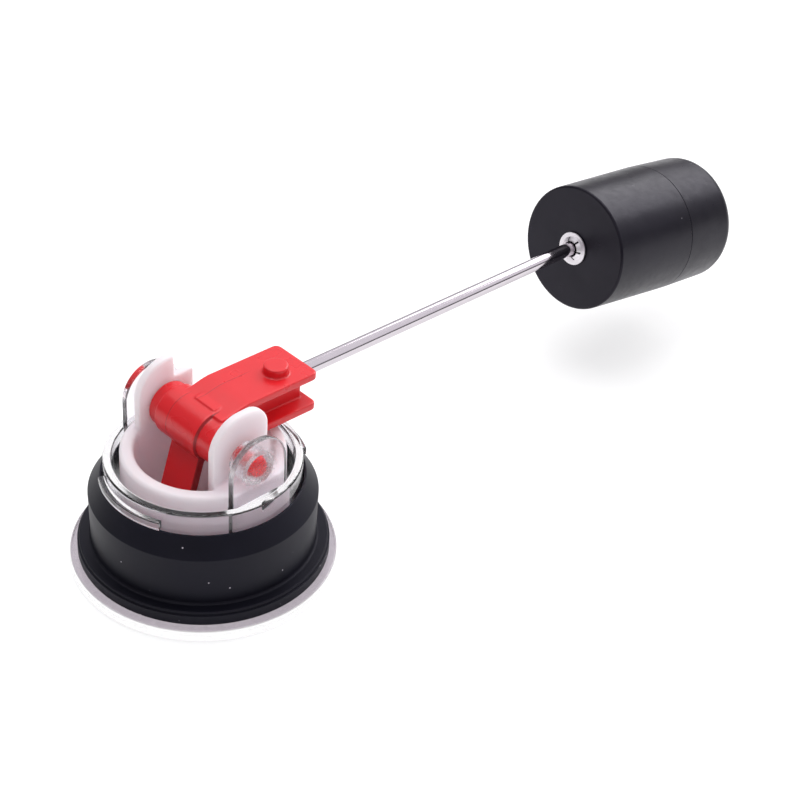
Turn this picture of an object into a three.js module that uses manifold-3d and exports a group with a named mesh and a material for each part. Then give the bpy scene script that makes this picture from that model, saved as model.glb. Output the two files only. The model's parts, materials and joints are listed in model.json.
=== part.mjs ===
// Float level gauge: a clear lens housing sealed by a rubber grommet carries a white cup, in which
// a red lever swings. A bent steel rod joins the lever to a hollow float, and the lever's leg is
// the pointer, read through the lens against a dial.
//
// Frame: millimetres. Origin at the centre of the lens's flat outer face. +Z is the housing's axis,
// into the tank. +X is the way the arm points. Y is the pivot axis, with the near ear at -Y.
import * as THREE from 'three';
import { mergeVertices } from 'three/addons/utils/BufferGeometryUtils.js';
import Module from 'manifold-3d';

const wasm = await Module();
wasm.setup();

// ---- driving dimensions ----------------------------------------------------------------------
const GAP = 0.3; // air left between pieces that touch
const SEGMENTS = 48; // facets round a large circle
const SMALL_SEGMENTS = 24; // facets round a small circle

const LENS = { flangeR: 36.15, flange: 3.6, edge: 0.4 };
const BARREL = { outerR: 26.55, innerR: 24.2, top: 34.1, edge: 0.3 };
const RIB = { outerR: 28.1, low: 28.9, high: 31.3, halfAngle: THREE.MathUtils.degToRad(27) };

const GROMMET = {
  flangeR: 34.1, flange: 4, step: 0.5, neckR: 30.3, rootFillet: 0.8, shoulderR: 30.8, shoulder: 22.9,
  lipR: 27.4, lip: 28.4,
};

const PIVOT = { z: 42.6, pinR: 2.2, holeR: 2.45 };
const LUG = {
  halfWidth: 9.1, outerY: 23, innerY: 21, wall: 1, webY: 24.6, webTop: 33.7, bossR: 4.9,
  nearBossY: -16.2, farBossY: 18.2,
};

const CUP = {
  outerR: 22.1, mouthR: 18.3, floorR: 17.4, bottom: 5, floor: 1.6, top: 36.6, edge: 0.8,
};
const EAR = {
  halfWidth: 9.2, thickness: 2.5, nearY: -15.4, nearTop: 55, farY: 15.2, farTop: 56.2,
  leadR: 10, trailR: 6, notchX: 2.8, notchZ: 49.5,
};
const WINDOW = { halfLength: 15.4, halfWidth: 3.6 };
const STOP = { face: -14.3, back: -18.6, halfWidth: 2.4, height: 6 };
const DIAL = {
  r: 23.6, low: 3.9, thickness: 0.8, flatY: 20.6, windowHalfLength: 14.6, windowHalfWidth: 2.6,
};

const HUB = { farY: 14.9, farStep: 11.5, nearStep: -4.9, nearY: -12.6, midR: 7.3, endR: 6.5 };
const ARM = {
  start: -1, end: 32.4, halfWidth: 8.5, top: 8.9, bottom: -3, plate: 2.2, corner: 1.6,
  webHalfWidth: 4, webEnd: 30.4, rampEnd: 8, rampLow: 7.2,
};
const BOSS = { x: 23.2, y: -1.6, r: 3.45, height: 2.5 };
const LEG = {
  y: 0.85, halfWidth: 5.75, lean: THREE.MathUtils.degToRad(15), back: -3.8, thickness: 2.4,
  shoulder: 23, tip: 35.2, tipHalfWidth: 1.8, tipThickness: 2,
};
const ARM_REST = THREE.MathUtils.degToRad(2.06); // the arm's droop below square on its lower stop

const ROD = { r: 2, height: 4.05, start: 11, bendAt: 137.4, bendR: 24, clearance: 0.3 };
const FLOAT_TILT = THREE.MathUtils.degToRad(7.7); // the rod's bend, just before the float
const FLOAT = {
  faceAt: 142.5, length: 53.6, faceR: 18.85, seamR: 19.3, endR: 18.9, seam: 32.5, wall: 1.5,
  faceEdge: 0.7, endEdge: 3.4, boreR: 2.5, tubeR: 4,
};
const RETAINER = {
  r: 5, rimHoleR: 3, thickness: 0.5, teeth: 6, toothTipR: 2.35, toothRise: 1.1, toothHalfAngle: 0.34,
};

// ---- helpers ---------------------------------------------------------------------------------
// Turns a closed geometry into a solid, with shared corners merged and collapsed triangles left out.
function solid(geometry) {
  geometry.deleteAttribute('normal');
  geometry.deleteAttribute('uv');
  const merged = mergeVertices(geometry, 1e-4);
  const index = Array.from(merged.index.array);
  const triVerts = [];
  for (let i = 0; i < index.length; i += 3) {
    const [a, b, c] = index.slice(i, i + 3);
    if (a !== b && b !== c && c !== a) triVerts.push(a, b, c);
  }
  const vertProperties = new Float32Array(merged.attributes.position.array);
  const mesh = new wasm.Mesh({ numProp: 3, vertProperties, triVerts: new Uint32Array(triVerts) });
  return new wasm.Manifold(mesh);
}

function geometryOf(manifold) {
  const mesh = manifold.getMesh();
  const geometry = new THREE.BufferGeometry();
  geometry.setAttribute('position', new THREE.BufferAttribute(new Float32Array(mesh.vertProperties), 3));
  geometry.setIndex(new THREE.BufferAttribute(new Uint32Array(mesh.triVerts), 1));
  geometry.computeVertexNormals();
  return geometry;
}

// A solid of revolution about Z. The profile's [radius, z] points run anticlockwise, from the
// lowest point outwards.
function turned(profile, segments = SEGMENTS) {
  const points = profile.map(([r, z]) => new THREE.Vector2(r, z));
  const geometry = new THREE.LatheGeometry(points, segments);
  geometry.rotateX(Math.PI / 2);
  return solid(geometry);
}

// A plate whose outline is drawn in X and Z, reaching from y = low to y = high.
function plateXZ(shape, low, high) {
  const geometry = new THREE.ExtrudeGeometry(shape, {
    depth: high - low, bevelEnabled: false, curveSegments: SMALL_SEGMENTS / 2,
  });
  geometry.rotateX(Math.PI / 2);
  geometry.translate(0, high, 0);
  return solid(geometry);
}

// A plate whose outline is drawn in X and Y, reaching from z = low to z = high.
function plateXY(shape, low, high) {
  const geometry = new THREE.ExtrudeGeometry(shape, {
    depth: high - low, bevelEnabled: false, curveSegments: SMALL_SEGMENTS / 2,
  });
  geometry.translate(0, 0, low);
  return solid(geometry);
}

function block(x0, x1, y0, y1, z0, z1) {
  const geometry = new THREE.BoxGeometry(x1 - x0, y1 - y0, z1 - z0);
  geometry.translate((x0 + x1) / 2, (y0 + y1) / 2, (z0 + z1) / 2);
  return solid(geometry);
}

// A cylinder along Y at the height z.
function crossPin(r, y0, y1, z, segments = SMALL_SEGMENTS) {
  const geometry = new THREE.CylinderGeometry(r, r, y1 - y0, segments);
  geometry.translate(0, (y0 + y1) / 2, z);
  return solid(geometry);
}

// A rectangle with rounded corners, from its low corner to its high corner.
function roundedRectangle(x0, y0, x1, y1, r) {
  const shape = new THREE.Shape();
  shape.moveTo(x0 + r, y0);
  shape.lineTo(x1 - r, y0);
  shape.absarc(x1 - r, y0 + r, r, -Math.PI / 2, 0);
  shape.lineTo(x1, y1 - r);
  shape.absarc(x1 - r, y1 - r, r, 0, Math.PI / 2);
  shape.lineTo(x0 + r, y1);
  shape.absarc(x0 + r, y1 - r, r, Math.PI / 2, Math.PI);
  shape.lineTo(x0, y0 + r);
  shape.absarc(x0 + r, y0 + r, r, Math.PI, 1.5 * Math.PI);
  return shape;
}

function material(color, roughness, metalness = 0, opacity = 1) {
  return new THREE.MeshStandardMaterial({
    color, roughness, metalness, opacity, transparent: opacity < 1,
  });
}

function part(name, manifold, look) {
  const mesh = new THREE.Mesh(geometryOf(manifold), look);
  mesh.name = name;
  return mesh;
}

// ---- housing ---------------------------------------------------------------------------------
// One clear moulding: the lens and its flange, the barrel, the two ribs that keep the grommet on,
// and the two lugs, whose bosses have blind sockets for the ends of the lever's pins.
function lensHousing() {
  const { flangeR, flange, edge } = LENS;
  let body = turned([
    [0, 0], [flangeR - edge, 0], [flangeR, edge], [flangeR, flange - edge], [flangeR - edge, flange],
    [BARREL.outerR, flange], [BARREL.outerR, BARREL.top - BARREL.edge],
    [BARREL.outerR - BARREL.edge, BARREL.top], [BARREL.innerR + BARREL.edge, BARREL.top],
    [BARREL.innerR, BARREL.top - BARREL.edge], [BARREL.innerR, flange], [0, flange],
  ]);
  for (const middle of [0, Math.PI]) body = body.add(snapRib(middle));
  body = body.add(lug(LUG.nearBossY, -1)).add(lug(LUG.farBossY, 1));
  const socketEnd = LUG.outerY - LUG.wall;
  body = body.subtract(crossPin(PIVOT.holeR, -socketEnd, LUG.nearBossY + 1, PIVOT.z));
  return body.subtract(crossPin(PIVOT.holeR, LUG.farBossY - 1, socketEnd, PIVOT.z));
}

function snapRib(middle) {
  const inner = (BARREL.outerR + BARREL.innerR) / 2;
  const shape = new THREE.Shape();
  shape.absarc(0, 0, RIB.outerR, middle - RIB.halfAngle, middle + RIB.halfAngle, false);
  shape.absarc(0, 0, inner, middle + RIB.halfAngle, middle - RIB.halfAngle, true);
  return plateXY(shape, RIB.low, RIB.high);
}

// A thin post with a round top, its foot in the barrel's wall, and the boss that faces the ear.
function lug(bossY, side) {
  const shape = new THREE.Shape();
  shape.moveTo(-LUG.halfWidth, LENS.flange / 2);
  shape.lineTo(LUG.halfWidth, LENS.flange / 2);
  shape.absarc(0, PIVOT.z, LUG.halfWidth, 0, Math.PI);
  const span = (a, b) => [Math.min(a, b), Math.max(a, b)];
  const [inner, outer, foot] = [side * LUG.innerY, side * LUG.outerY, side * LUG.webY];
  const web = block(-LUG.halfWidth, LUG.halfWidth, ...span(inner, foot), LENS.flange / 2, LUG.webTop);
  const boss = crossPin(LUG.bossR, ...span(bossY, (inner + outer) / 2), PIVOT.z);
  return plateXZ(shape, ...span(inner, outer)).add(web).add(boss);
}

// The rubber sleeve: its flange seats on the tank, and its neck seals in the tank's hole.
function grommet() {
  const bore = BARREL.outerR + GAP;
  const low = LENS.flange + GAP;
  const seat = low + GROMMET.flange;
  return turned([
    [bore, low], [GROMMET.flangeR, low], [GROMMET.flangeR, seat - 2 * GROMMET.step],
    [GROMMET.flangeR - GROMMET.step, seat - 2 * GROMMET.step], [GROMMET.flangeR - GROMMET.step, seat],
    [GROMMET.neckR + GROMMET.rootFillet, seat], [GROMMET.neckR, seat + GROMMET.rootFillet],
    [GROMMET.shoulderR, GROMMET.shoulder], [GROMMET.lipR, GROMMET.lip],
    [bore, GROMMET.lip], [bore, low],
  ]);
}

// The white cup: a ring with flats for the clear lugs, a windowed floor, a stop, and two tall ears.
function innerCup() {
  const { outerR, mouthR, floorR, bottom, floor, top, edge } = CUP;
  const floorTop = bottom + floor;
  let cup = turned([
    [0, bottom], [outerR - edge, bottom], [outerR, bottom + edge], [outerR, top - edge],
    [outerR - edge, top], [mouthR + edge, top], [mouthR, top - edge], [floorR, floorTop], [0, floorTop],
  ]);
  const flat = LUG.innerY - GAP;
  cup = cup.intersect(block(-outerR, outerR, -flat, flat, 0, 2 * top));
  cup = cup.add(ear(EAR.nearY, EAR.nearTop)).add(ear(EAR.farY, EAR.farTop).subtract(farNotch()));
  cup = cup.add(earRoot(-flat, EAR.nearY + EAR.thickness)).add(earRoot(EAR.farY, flat)).add(stopRib());
  cup = cup.subtract(crossPin(PIVOT.holeR, -outerR, outerR, PIVOT.z));
  const { halfLength, halfWidth } = WINDOW;
  const opening = roundedRectangle(-halfLength, LEG.y - halfWidth, halfLength, LEG.y + halfWidth, 1);
  return cup.subtract(plateXY(opening, 0, floorTop + GAP));
}

function ear(y, top) {
  const { halfWidth, leadR, trailR } = EAR;
  const shape = new THREE.Shape();
  shape.moveTo(-halfWidth, CUP.bottom);
  shape.lineTo(halfWidth, CUP.bottom);
  shape.lineTo(halfWidth, top - trailR);
  shape.absarc(halfWidth - trailR, top - trailR, trailR, 0, Math.PI / 2);
  shape.absarc(leadR - halfWidth, top - leadR, leadR, Math.PI / 2, Math.PI);
  return plateXZ(shape, y, y + EAR.thickness);
}

function farNotch() {
  return block(EAR.notchX, 2 * EAR.halfWidth, 0, 2 * CUP.outerR, EAR.notchZ, 2 * EAR.farTop);
}

// The thick root of an ear, from y = low to y = high, which joins it to the ring.
function earRoot(low, high) {
  const r = CUP.mouthR + 1;
  const disc = turned([[0, CUP.bottom], [r, CUP.bottom], [r, CUP.top], [0, CUP.top]]);
  return disc.intersect(block(-EAR.halfWidth, EAR.halfWidth, low, high, 0, CUP.top));
}

function stopRib() {
  const { face, back, halfWidth, height } = STOP;
  const low = CUP.bottom + CUP.floor / 2;
  return block(back, face, LEG.y - halfWidth, LEG.y + halfWidth, low, low + height);
}

// The dial lies on the lens, under the cup's floor. The pointer shows through its window.
function dial() {
  const high = DIAL.low + DIAL.thickness;
  const disc = turned([[0, DIAL.low], [DIAL.r, DIAL.low], [DIAL.r, high], [0, high]]);
  const flats = block(-DIAL.r, DIAL.r, -DIAL.flatY, DIAL.flatY, 0, CUP.top);
  const { windowHalfLength: x, windowHalfWidth: y } = DIAL;
  const opening = roundedRectangle(-x, LEG.y - y, x, LEG.y + y, y / 2);
  return disc.intersect(flats).subtract(plateXY(opening, 0, high + GAP));
}

// ---- lever -----------------------------------------------------------------------------------
// The lever's parts are drawn about the pivot, with the arm level along X.
function lever() {
  let body = hub().add(armPlates()).add(leg()).add(boss());
  const pinEnd = LUG.outerY - LUG.wall - GAP;
  body = body.add(crossPin(PIVOT.pinR, -pinEnd, pinEnd, 0));
  const socket = new THREE.CylinderGeometry(1, 1, ARM.end, SMALL_SEGMENTS);
  const socketR = ROD.r + ROD.clearance;
  socket.scale(socketR, 1, socketR);
  socket.rotateZ(Math.PI / 2);
  socket.translate(ROD.start - ROD.clearance + ARM.end / 2, 0, ROD.height);
  return body.subtract(solid(socket));
}

function hub() {
  const middle = crossPin(HUB.midR, HUB.nearStep, HUB.farStep, 0, SEGMENTS / 2);
  return crossPin(HUB.endR, HUB.nearY, HUB.farY, 0, SEGMENTS / 2).add(middle);
}

// The arm is a channel: two plates with a thick web between them, which holds the rod. The upper
// plate rises from the hub's top in a short ramp.
function armPlates() {
  const { start, end, halfWidth, corner, top, bottom, plate, webHalfWidth, webEnd } = ARM;
  const plan = roundedRectangle(start, -halfWidth, end, halfWidth, corner);
  const lowerPlan = roundedRectangle(2 * corner, -halfWidth, end, halfWidth, corner);
  const web = block(0, webEnd, -webHalfWidth, webHalfWidth, bottom + plate / 2, top - plate / 2);
  const upper = plateXY(plan, top - plate, top).intersect(armRamp());
  return upper.add(plateXY(lowerPlan, bottom, bottom + plate)).add(web);
}

function armRamp() {
  const { start, end, halfWidth, bottom, top, rampEnd, rampLow } = ARM;
  const side = new THREE.Shape();
  side.moveTo(start - 1, bottom);
  side.lineTo(end + 1, bottom);
  side.lineTo(end + 1, top + 1);
  side.lineTo(rampEnd, top);
  side.lineTo(start, rampLow);
  side.lineTo(start - 1, rampLow);
  return plateXZ(side, -halfWidth - 1, halfWidth + 1);
}

function boss() {
  const cylinder = new THREE.CylinderGeometry(BOSS.r, BOSS.r, BOSS.height + 1, SMALL_SEGMENTS);
  cylinder.rotateX(Math.PI / 2);
  cylinder.translate(BOSS.x, BOSS.y, ARM.top - 1 + (BOSS.height + 1) / 2);
  return solid(cylinder);
}

// The leg hangs from the hub and narrows to the pointer. It leans back by LEG.lean.
function leg() {
  const { halfWidth, back, thickness, shoulder, tip, tipHalfWidth, tipThickness } = LEG;
  const face = new THREE.Shape();
  face.moveTo(-halfWidth, 0);
  face.lineTo(-halfWidth, -shoulder);
  face.lineTo(-tipHalfWidth, -tip);
  face.lineTo(tipHalfWidth, -tip);
  face.lineTo(halfWidth, -shoulder);
  face.lineTo(halfWidth, 0);
  const slab = new THREE.ExtrudeGeometry(face, { depth: 2 * HUB.midR, bevelEnabled: false });
  slab.rotateX(Math.PI / 2);
  slab.rotateZ(Math.PI / 2);
  slab.translate(-HUB.midR, LEG.y, 0);
  const side = new THREE.Shape();
  side.moveTo(back, 0);
  side.lineTo(back, -tip);
  side.lineTo(back + tipThickness, -tip);
  side.lineTo(back + thickness, -shoulder);
  side.lineTo(back + thickness, 0);
  const wedge = plateXZ(side, LEG.y - halfWidth, LEG.y + halfWidth);
  return solid(slab).intersect(wedge).rotate([0, THREE.MathUtils.radToDeg(LEG.lean), 0]);
}

// ---- rod, retainers and float ----------------------------------------------------------------
// The rod runs straight along the arm, bends down a little, and carries the float on its end.
function rodPath() {
  const at = (x, z) => new THREE.Vector3(x, 0, ROD.height + z);
  const path = new THREE.CurvePath();
  const bendEnd = rodBendEnd();
  path.add(new THREE.LineCurve3(at(ROD.start, 0), at(ROD.bendAt, 0)));
  const control = at(ROD.bendAt + ROD.bendR * Math.tan(FLOAT_TILT / 2), 0);
  path.add(new THREE.QuadraticBezierCurve3(at(ROD.bendAt, 0), control, at(bendEnd.x, bendEnd.z)));
  const rest = FLOAT.faceAt - bendEnd.x + FLOAT.length + 3;
  path.add(new THREE.LineCurve3(at(bendEnd.x, bendEnd.z), at(
    bendEnd.x + rest * Math.cos(FLOAT_TILT), bendEnd.z - rest * Math.sin(FLOAT_TILT),
  )));
  return path;
}

function rodBendEnd() {
  return {
    x: ROD.bendAt + ROD.bendR * Math.sin(FLOAT_TILT),
    z: -ROD.bendR * (1 - Math.cos(FLOAT_TILT)),
  };
}

function rod() {
  const section = new THREE.Shape();
  section.absarc(0, 0, ROD.r, 0, 2 * Math.PI);
  return solid(new THREE.ExtrudeGeometry(section, {
    steps: 40, bevelEnabled: false, curveSegments: 8, extrudePath: rodPath(),
  }));
}

// The float's near half: the flat face, the side wall up to the weld, and the tube round the rod.
function floatBody() {
  const { faceR, seamR, seam, wall, faceEdge, boreR, tubeR, length } = FLOAT;
  return turned([
    [boreR, 0], [faceR - faceEdge, 0], [faceR, faceEdge], [seamR, seam], [seamR - wall, seam],
    [faceR - wall, wall], [tubeR, wall], [tubeR, length - wall - GAP], [boreR, length - wall - GAP],
    [boreR, 0],
  ]);
}

// The float's far half: a cap with a rounded edge, welded on at the seam.
function floatCap() {
  const { seamR, endR, seam, wall, endEdge, boreR, length } = FLOAT;
  const outer = roundedCorner(endR, length, endEdge);
  const inner = roundedCorner(endR - wall, length - wall, endEdge - wall).reverse();
  const low = seam + GAP;
  return turned([
    [seamR - wall, low], [seamR, low], ...outer, [boreR, length], [boreR, length - wall], ...inner,
    [seamR - wall, low],
  ]);
}

// Points of a quarter circle of radius r, from the side at radius R to the top at height z.
function roundedCorner(R, z, r) {
  return Array.from({ length: 6 }, (_, i) => {
    const angle = (i / 5) * (Math.PI / 2);
    return [R - r + r * Math.cos(angle), z - r + r * Math.sin(angle)];
  });
}

// A push-on retainer: a flat rim with teeth that rise towards the rod.
function retainer() {
  const { r, rimHoleR, thickness, teeth, toothTipR, toothRise, toothHalfAngle } = RETAINER;
  const section = [[rimHoleR, 0], [r, 0], [r, thickness], [rimHoleR, thickness], [rimHoleR, 0]];
  let ring = turned(section, SMALL_SEGMENTS);
  const root = rimHoleR + 0.4;
  const cone = turned([
    [toothTipR, toothRise], [root, 0], [root, thickness], [toothTipR, toothRise + thickness],
    [toothTipR, toothRise],
  ], SMALL_SEGMENTS);
  for (let i = 0; i < teeth; i += 1) {
    const middle = (i * 2 * Math.PI) / teeth;
    const wedge = new THREE.Shape();
    wedge.moveTo(0, 0);
    wedge.lineTo(r * Math.cos(middle - toothHalfAngle), r * Math.sin(middle - toothHalfAngle));
    wedge.lineTo(r * Math.cos(middle + toothHalfAngle), r * Math.sin(middle + toothHalfAngle));
    ring = ring.add(cone.intersect(plateXY(wedge, -1, 4)));
  }
  return ring;
}

// ---- assembly --------------------------------------------------------------------------------
const clear = material('#e9eaee', 0.06, 0, 0.35);
const rubber = material('#1b1a20', 0.62);
const milky = material('#f2e2ea', 0.45);
const print = material('#f4f3f0', 0.5);
const red = material('#d92730', 0.3);
const steel = material('#d9d7da', 0.16, 1);
const black = material('#222027', 0.42);

const gauge = new THREE.Group();
gauge.add(part('lens_housing', lensHousing(), clear));
gauge.add(part('rubber_grommet', grommet(), rubber));
gauge.add(part('inner_cup', innerCup(), milky));
gauge.add(part('dial_plate', dial(), print));

const arm = new THREE.Group();
arm.position.z = PIVOT.z;
arm.rotation.y = ARM_REST;
arm.add(part('pointer_lever', lever(), red));
arm.add(part('float_rod', rod(), steel));

// The float's own group: its origin is on the rod at the float's flat face, with Z along the rod.
const bendEnd = rodBendEnd();
const afterBend = FLOAT.faceAt - bendEnd.x;
const float = new THREE.Group();
float.position.set(
  bendEnd.x + afterBend * Math.cos(FLOAT_TILT), 0,
  ROD.height + bendEnd.z - afterBend * Math.sin(FLOAT_TILT),
);
float.rotation.y = Math.PI / 2 + FLOAT_TILT;
float.add(part('float_body', floatBody(), black));
float.add(part('float_cap', floatCap(), black));

const inner = part('inner_retainer', retainer(), steel);
inner.rotation.x = Math.PI;
inner.position.z = -GAP;
float.add(inner);
const outer = part('outer_retainer', retainer(), steel);
outer.position.z = FLOAT.length + GAP;
float.add(outer);
arm.add(float);
gauge.add(arm);

export default gauge;
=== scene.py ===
"""Float level gauge: the looks of a clear lens housing in a rubber grommet, a milky cup, a red lever, a
bent steel rod and a black float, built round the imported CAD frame.

Shapes are drawn in millimetres in the frame of the part they belong to, and end in metres in the row
frame: origin on the lens's outer face, +Z up the housing's axis, +X the way the arm points.
"""
import json
import math

import bmesh
import bpy
from mathutils import Matrix, Vector


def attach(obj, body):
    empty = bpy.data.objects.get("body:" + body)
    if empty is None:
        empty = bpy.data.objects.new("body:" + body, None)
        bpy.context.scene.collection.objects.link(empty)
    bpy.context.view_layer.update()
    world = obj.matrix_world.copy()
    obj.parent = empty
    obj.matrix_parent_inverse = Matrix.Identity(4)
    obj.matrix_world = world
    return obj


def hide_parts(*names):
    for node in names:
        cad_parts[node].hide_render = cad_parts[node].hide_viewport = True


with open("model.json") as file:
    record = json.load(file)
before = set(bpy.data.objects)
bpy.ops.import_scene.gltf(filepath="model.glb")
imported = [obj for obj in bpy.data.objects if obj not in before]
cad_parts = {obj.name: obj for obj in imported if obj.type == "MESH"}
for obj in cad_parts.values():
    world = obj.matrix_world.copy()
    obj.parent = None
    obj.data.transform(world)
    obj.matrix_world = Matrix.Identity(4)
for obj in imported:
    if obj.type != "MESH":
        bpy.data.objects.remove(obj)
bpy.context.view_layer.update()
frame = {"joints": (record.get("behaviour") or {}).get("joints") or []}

MM = 0.001

# ---- dimensions, millimetres ------------------------------------------------------------------
GAP = 0.3
ROUND = 192  # facets round a large circle
SMALL_ROUND = 64  # facets round a small circle

LENS = {"r": 36.15, "high": 3.6, "edge": 0.5}
BARREL = {"outer": 26.55, "inner": 24.2, "top": 34.1, "edge": 0.6, "root": 0.5}
RIB = {"r": 28.1, "low": 28.9, "high": 31.3, "half_angle": math.radians(27), "edge": 0.25}
GROMMET = {
    "bore": 26.85, "low": 3.9, "flange_r": 34.1, "step_z": 6.9, "step": 0.5, "seat": 7.9,
    "neck_r": 30.3, "root": 0.8, "shoulder_r": 30.8, "shoulder": 22.9, "lip_r": 27.4, "lip": 28.4,
}
PIN = {"r": 2.2, "hole_r": 2.28, "end": 21.75}
LUG = {
    "half": 9.1, "outer": 23.0, "inner": 21.0, "web_y": 24.6, "web_top": 33.7, "edge": 0.5,
    "socket_end": 21.85, "foot": 1.8, "boss_r": 4.9, "near_boss": -16.2, "far_boss": 18.2,
}
NUB = {"y": -26.0, "z": 33.0, "half_x": 2.4, "half_y": 1.3, "half_z": 1.8}
DOME = {"y": -22.3, "half_x": 4.6, "half_y": 2.4, "half_z": 4.6}
CUP = {
    "outer": 22.1, "mouth": 18.3, "floor_r": 17.4, "low": 5.0, "floor": 1.6, "top": 36.6,
    "edge": 1.0, "flat": 20.7, "voxel": 0.32, "smooth": 9,
}
EAR = {
    "half": 9.2, "thick": 2.5, "near": -15.4, "near_top": 55.0, "far": 15.2, "far_top": 56.2,
    "lead_r": 10.0, "trail_r": 6.0, "notch_x": 2.8, "notch_z": 49.5,
}
WINDOW = {"half_x": 15.4, "half_y": 3.6, "y": 0.85}
STOP = {"face": -14.3, "back": -18.6, "half_y": 2.4, "high": 6.0}
DIAL = {"r": 23.6, "low": 3.9, "thick": 0.8, "flat": 20.6, "half_x": 14.6, "half_y": 2.6}
HUB = {
    "far_end": 14.9, "far_step": 11.5, "near_step": -4.9, "near_end": -12.6, "mid_r": 7.3,
    "end_r": 6.5,
}
ARM = {
    "start": -1.0, "end": 32.4, "half": 8.5, "top": 8.9, "low": -3.0, "plate": 2.2, "corner": 1.6,
    "web_half": 4.0, "web_end": 30.4, "ramp_end": 9.0, "ramp_low": 7.2,
}
BOSS = {"x": 23.2, "y": -1.6, "r": 3.45, "high": 2.5}
LEG = {
    "y": 0.85, "half": 5.75, "lean": math.radians(15), "back": -3.8, "thick": 2.4,
    "shoulder": 23.0, "tip": 35.2, "tip_half": 1.8, "tip_thick": 2.0,
}
LEVER = {"voxel": 0.21, "smooth": 14, "rest": math.radians(2.06)}
ROD = {"r": 2.0, "z": 4.05, "start": 11.0, "bend_at": 137.4, "bend_r": 24.0, "tilt": math.radians(7.7)}
FLOAT = {
    "face_at": 142.5, "length": 53.6, "face_r": 18.85, "seam_r": 19.3, "end_r": 18.9, "seam": 32.5,
    "wall": 1.5, "face_edge": 0.7, "end_edge": 3.4, "bore": 2.5, "tube": 4.0, "seam_gap": 0.05,
}
RETAINER = {
    "r": 5.0, "root_r": 3.3, "tip_r": 2.3, "thick": 0.45, "rise": 1.0, "teeth": 6, "slot": 0.14,
}


# ---- mesh tools -------------------------------------------------------------------------------
def round_corners(points, steps=5):
    """The points of a closed outline given as (u, v, radius) corners, with an arc at each corner."""
    outline = []
    for i, (u, v, radius) in enumerate(points):
        corner = Vector((u, v))
        if radius <= 0:
            outline.append(corner)
            continue
        back = (Vector(points[i - 1][:2]) - corner).normalized()
        ahead = (Vector(points[(i + 1) % len(points)][:2]) - corner).normalized()
        half = back.angle(ahead) / 2
        reach = radius / math.tan(half)
        centre = corner + (back + ahead).normalized() * (radius / math.sin(half))
        first = corner + back * reach - centre
        last = corner + ahead * reach - centre
        turn = -first.angle_signed(last)
        for k in range(steps + 1):
            outline.append(centre + Matrix.Rotation(turn * k / steps, 2) @ first)
    return [(p.x, p.y) for p in outline]


def arc(cu, cv, radius, start, end, steps):
    """Points of an arc about (cu, cv), with its angles in degrees."""
    points = []
    for k in range(steps + 1):
        angle = math.radians(start + (end - start) * k / steps)
        points.append((cu + radius * math.cos(angle), cv + radius * math.sin(angle)))
    return points


def lathe(outline, segments=ROUND):
    """A closed solid of revolution about Z, from a closed outline of (radius, z) points."""
    bm = bmesh.new()
    rings = []
    for radius, z in outline:
        if radius < 1e-6:
            rings.append([bm.verts.new((0, 0, z))] * segments)
            continue
        turns = [2 * math.pi * i / segments for i in range(segments)]
        rings.append([bm.verts.new((radius * math.cos(t), radius * math.sin(t), z)) for t in turns])
    for ring, following in zip(rings, rings[1:] + rings[:1]):
        for i in range(segments):
            j = (i + 1) % segments
            corners = list(dict.fromkeys([ring[i], ring[j], following[j], following[i]]))
            if len(corners) > 2:
                bm.faces.new(corners)
    bmesh.ops.recalc_face_normals(bm, faces=bm.faces)
    return bm


def prism(outline, low, high, edge=0.0, steps=3):
    """A solid with a closed (u, v) outline from w = low to w = high, with rounded rims."""
    bm = bmesh.new()
    floor = [bm.verts.new((u, v, low)) for u, v in outline]
    roof = [bm.verts.new((u, v, high)) for u, v in outline]
    ends = [bm.faces.new(floor), bm.faces.new(roof)]
    for i in range(len(outline)):
        j = (i + 1) % len(outline)
        bm.faces.new([floor[i], floor[j], roof[j], roof[i]])
    bmesh.ops.recalc_face_normals(bm, faces=bm.faces)
    if edge > 0:
        rims = list({e for face in ends for e in face.edges})
        bmesh.ops.bevel(
            bm, geom=rims, offset=edge, segments=steps, profile=0.5, affect="EDGES", clamp_overlap=True
        )
    return bm


def to_xz(bm):
    """Turns a prism drawn in (u, v, w) so that u is X, v is Z and w is Y."""
    bm.transform(Matrix(((1, 0, 0, 0), (0, 0, 1, 0), (0, 1, 0, 0), (0, 0, 0, 1))))
    bmesh.ops.recalc_face_normals(bm, faces=bm.faces)
    return bm


def block(x0, x1, y0, y1, z0, z1, edge=0.0):
    outline = [(x0, y0), (x1, y0), (x1, y1), (x0, y1)]
    return prism(outline, z0, z1, edge)


def cross_pin(radius, y0, y1, z=0.0, edge=0.0, segments=SMALL_ROUND):
    """A cylinder along Y at the height z."""
    outline = arc(0, z, radius, 0, 360 * (segments - 1) / segments, segments - 1)
    return to_xz(prism(outline, y0, y1, edge))


def as_object(name, bm):
    mesh = bpy.data.meshes.new(name)
    bm.to_mesh(mesh)
    bm.free()
    made = bpy.data.objects.new(name, mesh)
    bpy.context.scene.collection.objects.link(made)
    return made


def apply_modifiers(piece):
    graph = bpy.context.evaluated_depsgraph_get()
    old = piece.data
    made = bpy.data.meshes.new_from_object(piece.evaluated_get(graph))
    piece.modifiers.clear()
    piece.data = made
    bpy.data.meshes.remove(old)


def combine(piece, bm, operation):
    """Joins a solid to the piece, or cuts it away, or keeps what they share."""
    tool = as_object("tool", bm)
    change = piece.modifiers.new("combine", "BOOLEAN")
    change.object = tool
    change.operation = operation
    change.solver = "EXACT"
    apply_modifiers(piece)
    mesh = tool.data
    bpy.data.objects.remove(tool)
    bpy.data.meshes.remove(mesh)


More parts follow.
